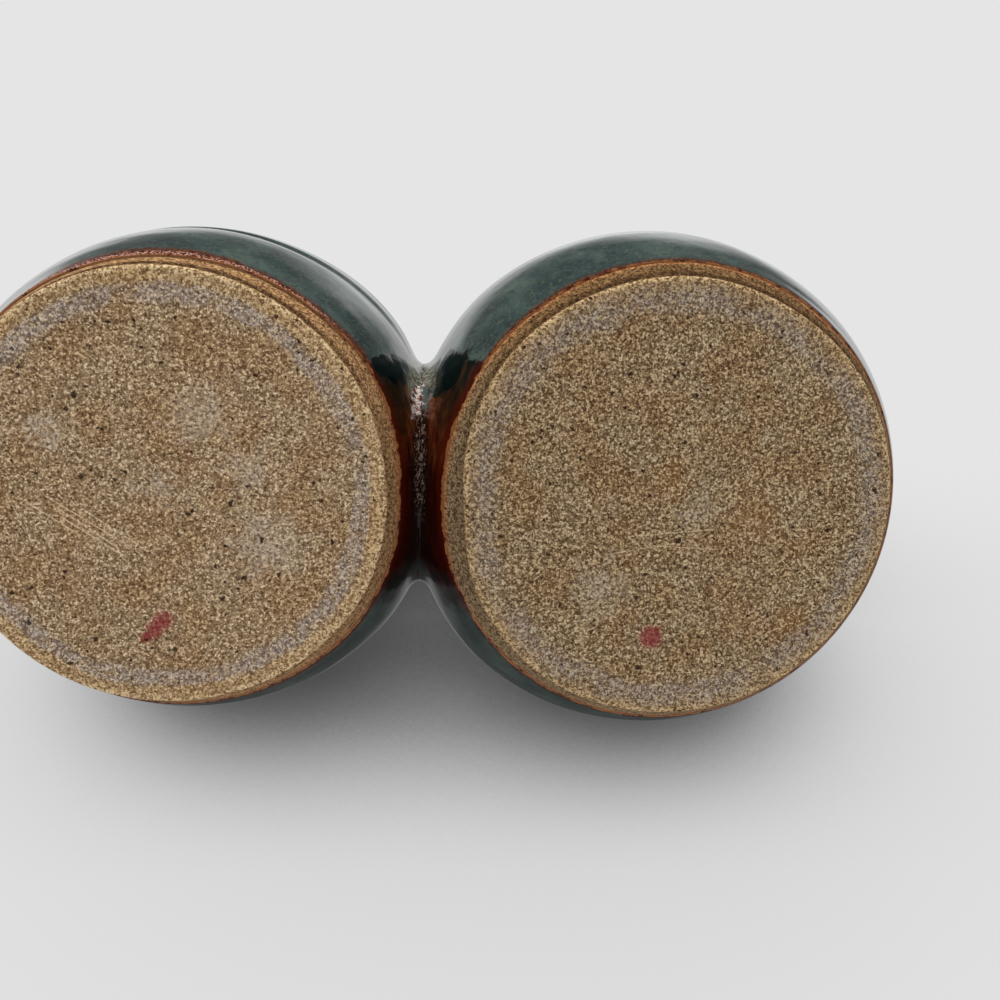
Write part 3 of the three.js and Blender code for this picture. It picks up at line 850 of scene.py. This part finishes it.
def stoneware(p):
    s = new_material(p.name + "_stoneware")
    radius, height, rise = s.field("radius"), s.field("height"), s.field("rise")

    # Clay colours scaled by the pot's tone, which is partly painted light
    def fired_and_lit(red, green, blue):
        return tuple(min(t * c, 1) for t, c in zip(TONES_AND_PAINTED_LIGHT[p.name], rgb(red, green, blue)))

    def sandy(dark, light, low=0.4):
        return s.mix(s.step(grain, low, 0.6), dark, light)

    sand = s.noise(3.3, 2, 0.8)
    grit = s.noise(1.6, 3, 0.7, 0.5)
    grain = s.add(s.mul(sand, 0.43), s.mul(grit, 0.41), s.mul(s.cells(2.7)[1], 0.16))
    grain = s.add(s.mul(s.sub(grain, 0.497), GRAIN[p.name]), 0.487)
    near, chance = s.cells(1.9)
    grain = s.add(grain, s.mul(s.step(near, 0.4, 0.16), s.step(chance, 0.35, 0.95), 0.085))
    patch = s.noise(0.1, 3, 0.55)
    s.colour = s.ramp(grain, [(0.38, fired_and_lit(74, 53, 34)), (0.455, fired_and_lit(120, 97, 71)),
                              (0.53, fired_and_lit(150, 128, 100)), (0.61, fired_and_lit(212, 194, 166))])
    warm = s.mul(s.step(patch, 0.42, 0.62), 0.4)
    s.colour = s.mix(warm, s.colour, rgb(236, 210, 170), "MULTIPLY")
    for x, y, size in CLOUDS[p.name]:
        cloud = s.near((x, y, 0), size, 0.9, s.shift(s.noise(0.3, 4, 0.75), 20))
        s.lay(fired_and_lit(186, 175, 162), cloud, s.step(grit, 0.36, 0.6), 0.5)

    # The lilac ring that stops short of the edge, and the ochre rim outside it
    reach = s.add(radius, s.shift(s.noise(0.13, 3, 0.6, 0.5), 3.6))
    start, full, fading, end = (p.base - gap for gap in HALO[p.name])
    halo = s.mul(s.band(reach, start, full, fading, end), s.step(s.noise(0.09, 2, 0.5), 0.26, 0.52),
                 s.step(s.noise(0.7, 3, 0.7), 0.3, 0.6))
    s.lay(sandy(fired_and_lit(104, 93, 88), fired_and_lit(184, 173, 167)), halo, 0.7)
    soot = s.step(s.noise(1.2, 3, 0.7, 0.6), 0.41, 0.36)
    s.lay(rgb(52, 42, 38), halo, soot, 0.75)
    rim = s.step(s.add(radius, s.shift(patch, 2)), start + 3.2, end)
    s.lay(sandy(fired_and_lit(112, 83, 50), fired_and_lit(202, 172, 128), 0.38), rim, 0.5)
    # Painted highlight: a light line along the base's eased edge, where the light catches it
    painted_edge_highlight = s.mul(s.step(radius, p.base - 1.2, p.base - 0.7), s.step(height, 0.5, 0.2),
                  s.step(grain, 0.44, 0.56), s.step(s.noise(0.2, 2, 0.5), 0.3, 0.7))
    s.lay(fired_and_lit(222, 196, 158), painted_edge_highlight, 0.7)

    for x, y, size in DABS[p.name]:
        dab = s.near((x, y, 0), size, 0.35, s.shift(grit, 2.2))
        s.lay(rgb(150, 34, 52), dab, s.step(sand, 0.24, 0.66))
    for x, y, size in RUST[p.name]:
        rust = s.near((x, y, 0), size, 0.9, s.shift(s.noise(0.4, 3, 0.6), 10))
        s.lay(rgb(138, 88, 34), rust, s.step(grain, 0.62, 0.4), 0.5)
    for start, end in SCRATCHES[p.name]:
        mark = s.stroke(start, end, SCRATCH_WIDTH)
        s.lay(fired_and_lit(216, 198, 168), mark, s.step(sand, 0.36, 0.52), 0.6)

    # The bevel above the base's edge, and painted shade along the turned groove in it
    bevel = s.step(height, 0.35, 1)
    s.lay(sandy(*BEVEL_CLAY[p.name]), bevel, 0.9)
    if p is RIGHT:
        brown = sandy(rgb(66, 42, 18), rgb(140, 102, 58))
        s.lay(brown, bevel, s.step(s.y, -8, -32), 0.8)
    # Painted shade in the turned groove, laid on as dark colour and stronger towards -Y
    groove_shade = s.size(s.add(s.sub(height, GROOVE_HEIGHT), s.shift(patch, 1.2)))
    groove_shade = s.mul(s.step(groove_shade, 1.3, 0.4), s.add(0.7, s.mul(s.step(grain, 0.66, 0.4), 0.3)))
    plain, start, full = (0.3, -16, -32) if p is LEFT else (0.1, 30, -50)
    strong = s.add(plain, s.mul(s.step(s.y, start, full), 0.6))
    s.lay(rgb(58, 37, 18), groove_shade, strong)

    # The tan line where the glaze ends
    tan = sandy(rgb(130, 78, 44), rgb(196, 140, 92))
    if p is LEFT:
        tan = s.over(tan, rgb(74, 44, 24), s.step(s.y, -20, -32))
    below = s.add(rise, s.shift(grit, 1))
    s.lay(tan, s.step(below, -0.65, -0.3), s.step(height, 0.6, 1.2), 0.8)

    dark = 0.0
    for scale, rare, size in IRON:
        gap, chance = s.cells(scale)
        ragged = s.shift(s.noise(1.4, 2, 0.5), 1.5 * scale)
        speck = s.step(s.sub(s.mul(s.sub(chance, rare), size), gap, ragged), -0.012, 0.02)
        dark = s.most(dark, speck)
    for x, y, size in SPECKS[p.name]:
        dark = s.most(dark, s.near((x, y, 0), 0.85 * size, 0.25, s.shift(grit, 0.9)))
    s.lay(rgb(44, 24, 12), dark, 0.9)
    relief = s.add(s.mul(grain, 1.6), s.mul(s.noise(3.2, 2, 0.6), 0.5), s.mul(dark, -0.4))
    return s.finish(0.92, s.bump(relief, 0.8, 0.28), Specular_IOR_Level=0.25)


def teal_glaze():
    s = new_material("teal_glaze")
    rise, across, around = s.field("rise"), s.field("across"), s.field("around")
    seam = s.size(across)
    left = s.step(across, 0.05, -0.05)
    fleck = s.noise(1.3, 4, 0.65)
    drawn = s.vector("MULTIPLY", s.place, (1, 0.12, 0.7))
    streak = s.noise(0.9, 4, 0.65, 0.2, drawn)
    lobe = s.noise(0.28, 3, 0.55)

    cloud = s.noise(0.11, 4, 0.6, 0.5)
    s.colour = s.ramp(cloud, [(0.34, rgb(37, 50, 49)), (0.5, rgb(50, 65, 63)), (0.66, rgb(70, 84, 78))])
    s.lay(rgb(98, 96, 74), s.step(fleck, 0.52, 0.66), 0.45)
    s.lay(rgb(22, 30, 30), s.step(s.noise(0.8, 3, 0.6), 0.42, 0.34), 0.5)

    # Where the glaze is thin, over the lower edge and the lips, the iron of the clay shows
    top = s.mul(left, s.band(around, 60, 88, 115, 140))
    edge = s.add(s.sub(rise, s.mul(top, 1.5)), s.mul(s.sub(1, left), 0.8),
                 s.shift(s.noise(0.4, 3, 0.6), 2.4))
    iron = s.mix(s.step(fleck, 0.36, 0.64), rgb(52, 17, 8), rgb(102, 54, 30))
    lip = s.step(s.add(s.z, s.shift(fleck, 3)), 102.2, 104.4)
    s.lay(iron, s.most(s.step(edge, 2.6, 0.8), s.mul(lip, 0.8)))

    # The glaze that ran together between the pots, from -Y round to +Y
    turn = s.add(around, s.shift(lobe, 9))
    share = s.math("DIVIDE", s.add(turn, 40), 80)
    pooled = s.ramp(share, [(0.12, rgb(6, 14, 14)), (0.19, rgb(12, 8, 6)), (0.27, rgb(38, 8, 4)),
                            (0.55, rgb(46, 11, 5)), (0.68, rgb(78, 30, 12)), (0.78, rgb(88, 44, 19)),
                            (0.86, rgb(64, 42, 20)), (0.9, rgb(4, 12, 12))])
    bright = s.mix(s.step(share, 0.45, 0.75), rgb(62, 16, 6), rgb(132, 76, 34))
    pooled = s.over(pooled, bright, s.step(streak, 0.5, 0.66), 0.6)
    pooled = s.over(pooled, rgb(8, 8, 6), s.step(streak, 0.47, 0.38), 0.7)
    away = s.add(seam, s.shift(s.noise(0.35, 3, 0.65, 0.4, drawn), 7))
    pooled = s.over(pooled, rgb(8, 17, 14), s.step(share, 0.6, 0.76), s.step(away, 3.2, 5.6), 0.8)
    red = s.step(s.add(rise, s.shift(fleck, 2)), 3, 0.8)
    pooled = s.over(pooled, rgb(72, 15, 4), red, 0.6)
    low = s.step(s.add(rise, s.shift(lobe, 6)), 20, 16)
    thick = s.mul(low, s.band(turn, -33, -28, 32.5, 34))
    s.lay(pooled, thick)
    for place, size in BLOBS:
        blob = s.near(place, size, 0.07, s.shift(lobe, 1.8))
        s.lay(rgb(4, 14, 13), blob)
        thick = s.most(thick, blob)

    # Above that the valley stays dark only along its bottom
    line = s.step(s.add(seam, s.shift(streak, 3)), 3, 1)
    s.lay(rgb(22, 10, 6), line, 0.85)

    # A pale crusted scar beside the bottom of the valley and a painted grey reflection along it, then
    # froth with torn gaps, and the specked line that runs on from them
    sway = s.shift(s.noise(0.9, 3, 0.7), 4)
    beside = s.add(across, sway)
    torn = s.noise(0.7, 3, 0.6, 1.2)
    scar = s.band(s.add(around, sway), 17, 18.5, 23.5, 25)
    # Painted reflection: a grey strip beside the valley's bottom, where the glaze mirrors the bright
    # room
    s.lay(rgb(84, 94, 92), scar, s.band(beside, -0.2, 0.3, 1, 1.5), 0.7)
    shown = s.mul(scar, s.band(beside, -2.6, -2.1, -0.1, 0.3), s.step(torn, 0.42, 0.46))
    crust = s.mix(s.step(torn, 0.57, 0.51), rgb(104, 48, 32), rgb(222, 208, 198))
    s.lay(crust, shown)
    foam = s.mul(s.step(around, 21.5, 24), s.step(seam, 4.2, 2.4), s.step(rise, 40, 30))
    froth = s.mix(s.step(fleck, 0.4, 0.6), rgb(80, 79, 66), rgb(146, 143, 128))
    s.lay(froth, foam, s.sub(1, shown), 0.8)
    s.lay(rgb(40, 22, 14), foam, s.step(torn, 0.44, 0.39), 0.85)
    crease = s.mul(s.step(s.size(beside), 1.3, 0.5), s.band(around, -10, 0, 18, 24), low)
    along = s.vector("MULTIPLY", s.place, (1, 0.3, 0.5))
    lace = s.step(s.size(s.sub(s.noise(1.6, 3, 0.7, 0.5, along), 0.5)), 0.036, 0.01)
    s.lay(rgb(172, 146, 130), crease, lace, s.step(fleck, 0.4, 0.52), 0.85)

    # The frothy pink line under the thin glaze at the left pot's top
    ragged = s.sub(rise, s.add(s.mul(top, 0.7), s.shift(fleck, 2.4)))
    pink = s.mul(left, s.band(around, 38, 60, 115, 140), s.step(ragged, 1.1, 0.7))
    froth = s.mul(s.step(rise, 0.1, 0.35), s.step(s.cells(2.4)[0], 0.62, 0.3))
    s.lay(rgb(188, 142, 124), pink, froth)

    # The glaze ends in a ragged line of tan clay
    bare = s.step(s.add(rise, s.shift(s.noise(0.5, 4, 0.7), 2.2)), 0.35, 0.15)
    s.lay(rgb(150, 98, 60), bare, 0.85)

    ripples = s.add(s.noise(0.25, 2, 0.5), s.mul(thick, streak, 0.8))
    return s.finish(s.add(0.08, s.mul(shown, 0.3)), s.bump(ripples, 0.2, 0.4), IOR=1.5,
                    Specular_IOR_Level=s.sub(0.5, s.mul(thick, 0.3)),
                    Coat_Weight=s.mul(s.sub(1, thick), 0.3), Coat_Roughness=0.05)


def slip_clay():
    s = new_material("seam_slip_clay")
    grain = s.noise(1.4, 3, 0.6)
    s.colour = s.ramp(grain, [(0.3, rgb(112, 94, 74)), (0.7, rgb(160, 140, 116))])
    return s.finish(0.95, s.bump(grain, 0.5, 0.2))


# The object

coat = outer_coat(teal_glaze())
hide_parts("outer_glaze")
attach(coat, "root")
for p in (LEFT, RIGHT):
    clay = clay_body(p, stoneware(p))
    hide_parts(p.name)
    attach(clay, "root")
    liner = lining(p, coat.data.materials[0])
    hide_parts(p.name.replace("pot", "liner_glaze"))
    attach(liner, "root")
slip = slip_slab(slip_clay())
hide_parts("seam_slip")
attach(slip, "root")


# The stage. The floor under the standing vase is seen from above alone, and the table that the
# vase lies on in the photograph from below alone. Only camera rays see them, so that neither
# changes the light on the vase.

FLOOR_RADIUS = 720
FLOOR_FADE = (700, 260)
FLOOR_HEIGHT = -0.05
FLOOR_SIDES = 64
FLOOR_GREY = (0.82, 0.82, 0.82)

# The table leans as the vase lay on it: the way it faces, the way up along it, how far it is from
# the frame's origin, where its slats begin, and their half width and distance
TABLE_NORMAL = (0, -0.878, -0.479)
TABLE_ALONG = (0, -0.479, 0.878)
TABLE_DISTANCE = 64
TABLE_START = -95
TABLE_HALF = 430
TABLE_FADE = (420, 330)
TABLE_GREY = rgb(229, 229, 229)
SLAT_HALF = 0.4
SLAT_STEP = 0.6

# Above SHEET_HEIGHT a level sheet goes on from the last slat. It fades in towards the back, and
# sooner beside the vase.
SHEET_HEIGHT = 60
SHEET_START = -8
SHEET_EDGE = 8
SHEET_FULL = 38
SHEET_BESIDE = (104, 84)

# The table glows, and its shadow is painted: how grey it reads by the share of its light that
# the vase leaves open, and how far and which way it looks for that light
TABLE_SHADES = [(0.2, 74), (0.3, 94), (0.4, 124), (0.47, 152), (0.56, 178), (0.66, 200), (0.76, 213),
                (1.0, 229)]
LIGHT_REACH = 0.12
LIGHT_FROM = (-0.3, -0.93, -0.6)

# The world gives even light to everything matt. AMBIENT is its strength. MIRROR is what a mirror
# sees instead, by how far its look leans away from the table, from -1 straight at it to 1: the
# vase's own shadow, the lit table further off, and the darker room past the table's end.
AMBIENT = 0.72
MIRROR = [(-0.85, 0.06), (-0.5, 0.6), (-0.13, 0.8), (0.03, 0.2), (0.2, 0.1), (0.9, 0.06)]

# A long soft window that the glaze mirrors too: the way across it and along it, how bright it is
# across, and how it fades along and towards the floor
WINDOW_ACROSS = (0.38, 0.925, 0)
WINDOW_ALONG = (0.925, -0.38, 0)
WINDOW_BRIGHT = [(-0.60, 0), (-0.50, 0.35), (-0.38, 0.75), (-0.28, 0.5), (-0.19, 0)]
WINDOW_ENDS = [(0.12, 0), (0.32, 0.6), (0.48, 1), (0.66, 0)]
WINDOW_ABOVE = [(0.5, 0), (0.75, 1)]

# The photograph's camera, as fitted: below the bases, looking up past them along the table
CAMERA_PLACE = (-0.00151, -0.02303, -0.14261)
CAMERA_TURN = (0.080386, 0.995769, -0.013481, -0.042440)
SENSOR_WIDTH = 36
FOCAL_LENGTH = 0.82 * SENSOR_WIDTH

# A look across the table passes many slats from behind, which are see-through there.
CLEAR_LAYERS = 1024


def stage_piece(name, vertices, faces, material):
    item = mesh_object(name, vertices, faces, {}, material)
    item.data.shade_flat()
    for ray in ("diffuse", "glossy", "transmission", "volume_scatter", "shadow"):
        setattr(item, "visible_" + ray, False)


def one_sided(s, shader, solid):
    """Ends a stage material: see-through from behind and where solid falls to 0."""
    shown = s.mul(s.sub(1.0, s.node("NewGeometry").outputs["Backfacing"]), solid)
    clear = s.node("BsdfTransparent")
    return s.end(s.node("MixShader", {0: shown, 1: clear.outputs[0], 2: shader.outputs[0]}))


def floor():
    s = new_material("floor_pale")
    shader = s.node("BsdfDiffuse", {"Color": FLOOR_GREY})
    material = one_sided(s, shader, s.step(s.vector("LENGTH", s.place), *FLOOR_FADE))
    turn = np.linspace(0, 2 * np.pi, FLOOR_SIDES + 1)[:-1]
    corners = FLOOR_RADIUS * np.stack([np.cos(turn), np.sin(turn), 0 * turn], 1)
    stage_piece("floor", corners + (0, 0, FLOOR_HEIGHT), [list(range(FLOOR_SIDES))], material)


def table():
    """The plane that the lying vase touches, as narrow level slats that face down, and the sheet
    above them, so that no view of the standing vase shows either."""
    foot, along = -np.array(TABLE_NORMAL) * TABLE_DISTANCE, np.array(TABLE_ALONG)
    end = (SHEET_HEIGHT - foot[2]) / along[2]
    middles = [foot + at * along for at in np.arange(TABLE_START, end, SLAT_STEP)]
    slats = [level_strip(y - SLAT_HALF, y + SLAT_HALF, z) for _, y, z in middles]
    numbers = np.arange(4 * len(slats)).reshape(-1, 4).tolist()
    stage_piece("table", np.concatenate(slats), numbers, table_shade(False))
    sheet = level_strip(SHEET_START, (foot + end * along)[1], SHEET_HEIGHT)
    stage_piece("table_sheet", sheet, [[0, 1, 2, 3]], table_shade(True))


def level_strip(front, back, z):
    """The corners of a level strip across the stage that faces down."""
    x = TABLE_HALF
    return [(-x, front, z), (-x, back, z), (x, back, z), (x, front, z)]


def table_shade(sheet):
    s = new_material("table_sheet_painted_shadow" if sheet else "table_painted_shadow")
    outward = s.node("CombineXYZ", dict(enumerate(LIGHT_FROM))).outputs[0]
    open_sky = s.node("AmbientOcclusion", {"Distance": LIGHT_REACH, "Normal": outward}, samples=16)
    shades = [(at, rgb(grey, grey, grey + 1)) for at, grey in TABLE_SHADES]
    # The table glows with its grey instead of taking the lamps' light, and the vase's shadow on it is
    # painted by this ramp
    shader = s.node("Emission", {"Color": s.ramp(open_sky.outputs["AO"], shades)})
    beside = s.size(s.x)
    solid = s.step(beside, *TABLE_FADE)
    if sheet:
        shown = s.most(s.step(beside, *SHEET_BESIDE), s.step(s.y, SHEET_START, SHEET_FULL))
        solid = s.mul(solid, shown, s.step(s.y, SHEET_START, SHEET_START + SHEET_EDGE))
    return one_sided(s, shader, solid)


def world():
    """Even light for all but the mirror and the camera, which see a world of their own."""
    sky = bpy.data.worlds.new("studio")
    bpy.context.scene.world = sky
    s = Shade(sky)
    sky.cycles.sampling_method = "NONE"

    def brightness(axis, stops):
        """Strength by how far the look goes along an axis, from -1 to 1."""
        lean = s.add(s.mul(s.vector("DOT_PRODUCT", s.seen_at["Generated"], axis), 0.5), 0.5)
        return s.ramp(lean, [((at + 1) / 2, (strength,) * 3) for at, strength in stops])

    window = s.mul(brightness(WINDOW_ACROSS, WINDOW_BRIGHT), brightness(WINDOW_ALONG, WINDOW_ENDS),
                   brightness((0, 0, 1), WINDOW_ABOVE))
    mirror = s.add(brightness(TABLE_NORMAL, MIRROR), window)
    ray = s.node("LightPath").outputs
    plain = s.mix(ray["Is Glossy Ray"], (AMBIENT,) * 3, mirror)
    seen = s.mix(ray["Is Camera Ray"], plain, TABLE_GREY)
    s.end(s.node("Background", {"Color": seen}), "World")


def placed(data, place, turn):
    """An object at a place in metres, turned by a quaternion."""
    item = bpy.data.objects.new(data.name, data)
    bpy.context.scene.collection.objects.link(item)
    item.location = place
    item.rotation_mode = "QUATERNION"
    item.rotation_quaternion = turn
    return item


def lamp(name, place, target, size, power):
    """A rectangular lamp, by its place and what it points at in metres, and its power in watts."""
    light = bpy.data.lights.new(name, "AREA")
    light.shape = "RECTANGLE"
    light.size, light.size_y = size
    light.energy = power
    return placed(light, place, (Vector(target) - Vector(place)).to_track_quat("-Z", "Y"))


def camera():
    lens = bpy.data.cameras.new("camera")
    lens.sensor_width = SENSOR_WIDTH
    lens.lens = FOCAL_LENGTH
    lens.clip_start = 0.01
    bpy.context.scene.camera = placed(lens, CAMERA_PLACE, Quaternion(CAMERA_TURN))


floor()
table()
world()
key = lamp("key_light", (-0.18, -1.2, 0.30), (0, 0, 0.04), size=(0.8, 0.8), power=18)
key.visible_glossy = False

# A soft box on the left that only the glaze mirrors
window = lamp("window_left", (-0.58, 0.05, 0.86), (0, 0, 0.05), size=(0.16, 0.3), power=1.2)
window.visible_diffuse = False
window.visible_camera = False

camera()
bpy.context.scene.view_settings.view_transform = "Standard"
bpy.context.scene.cycles.transparent_max_bounces = CLEAR_LAYERS
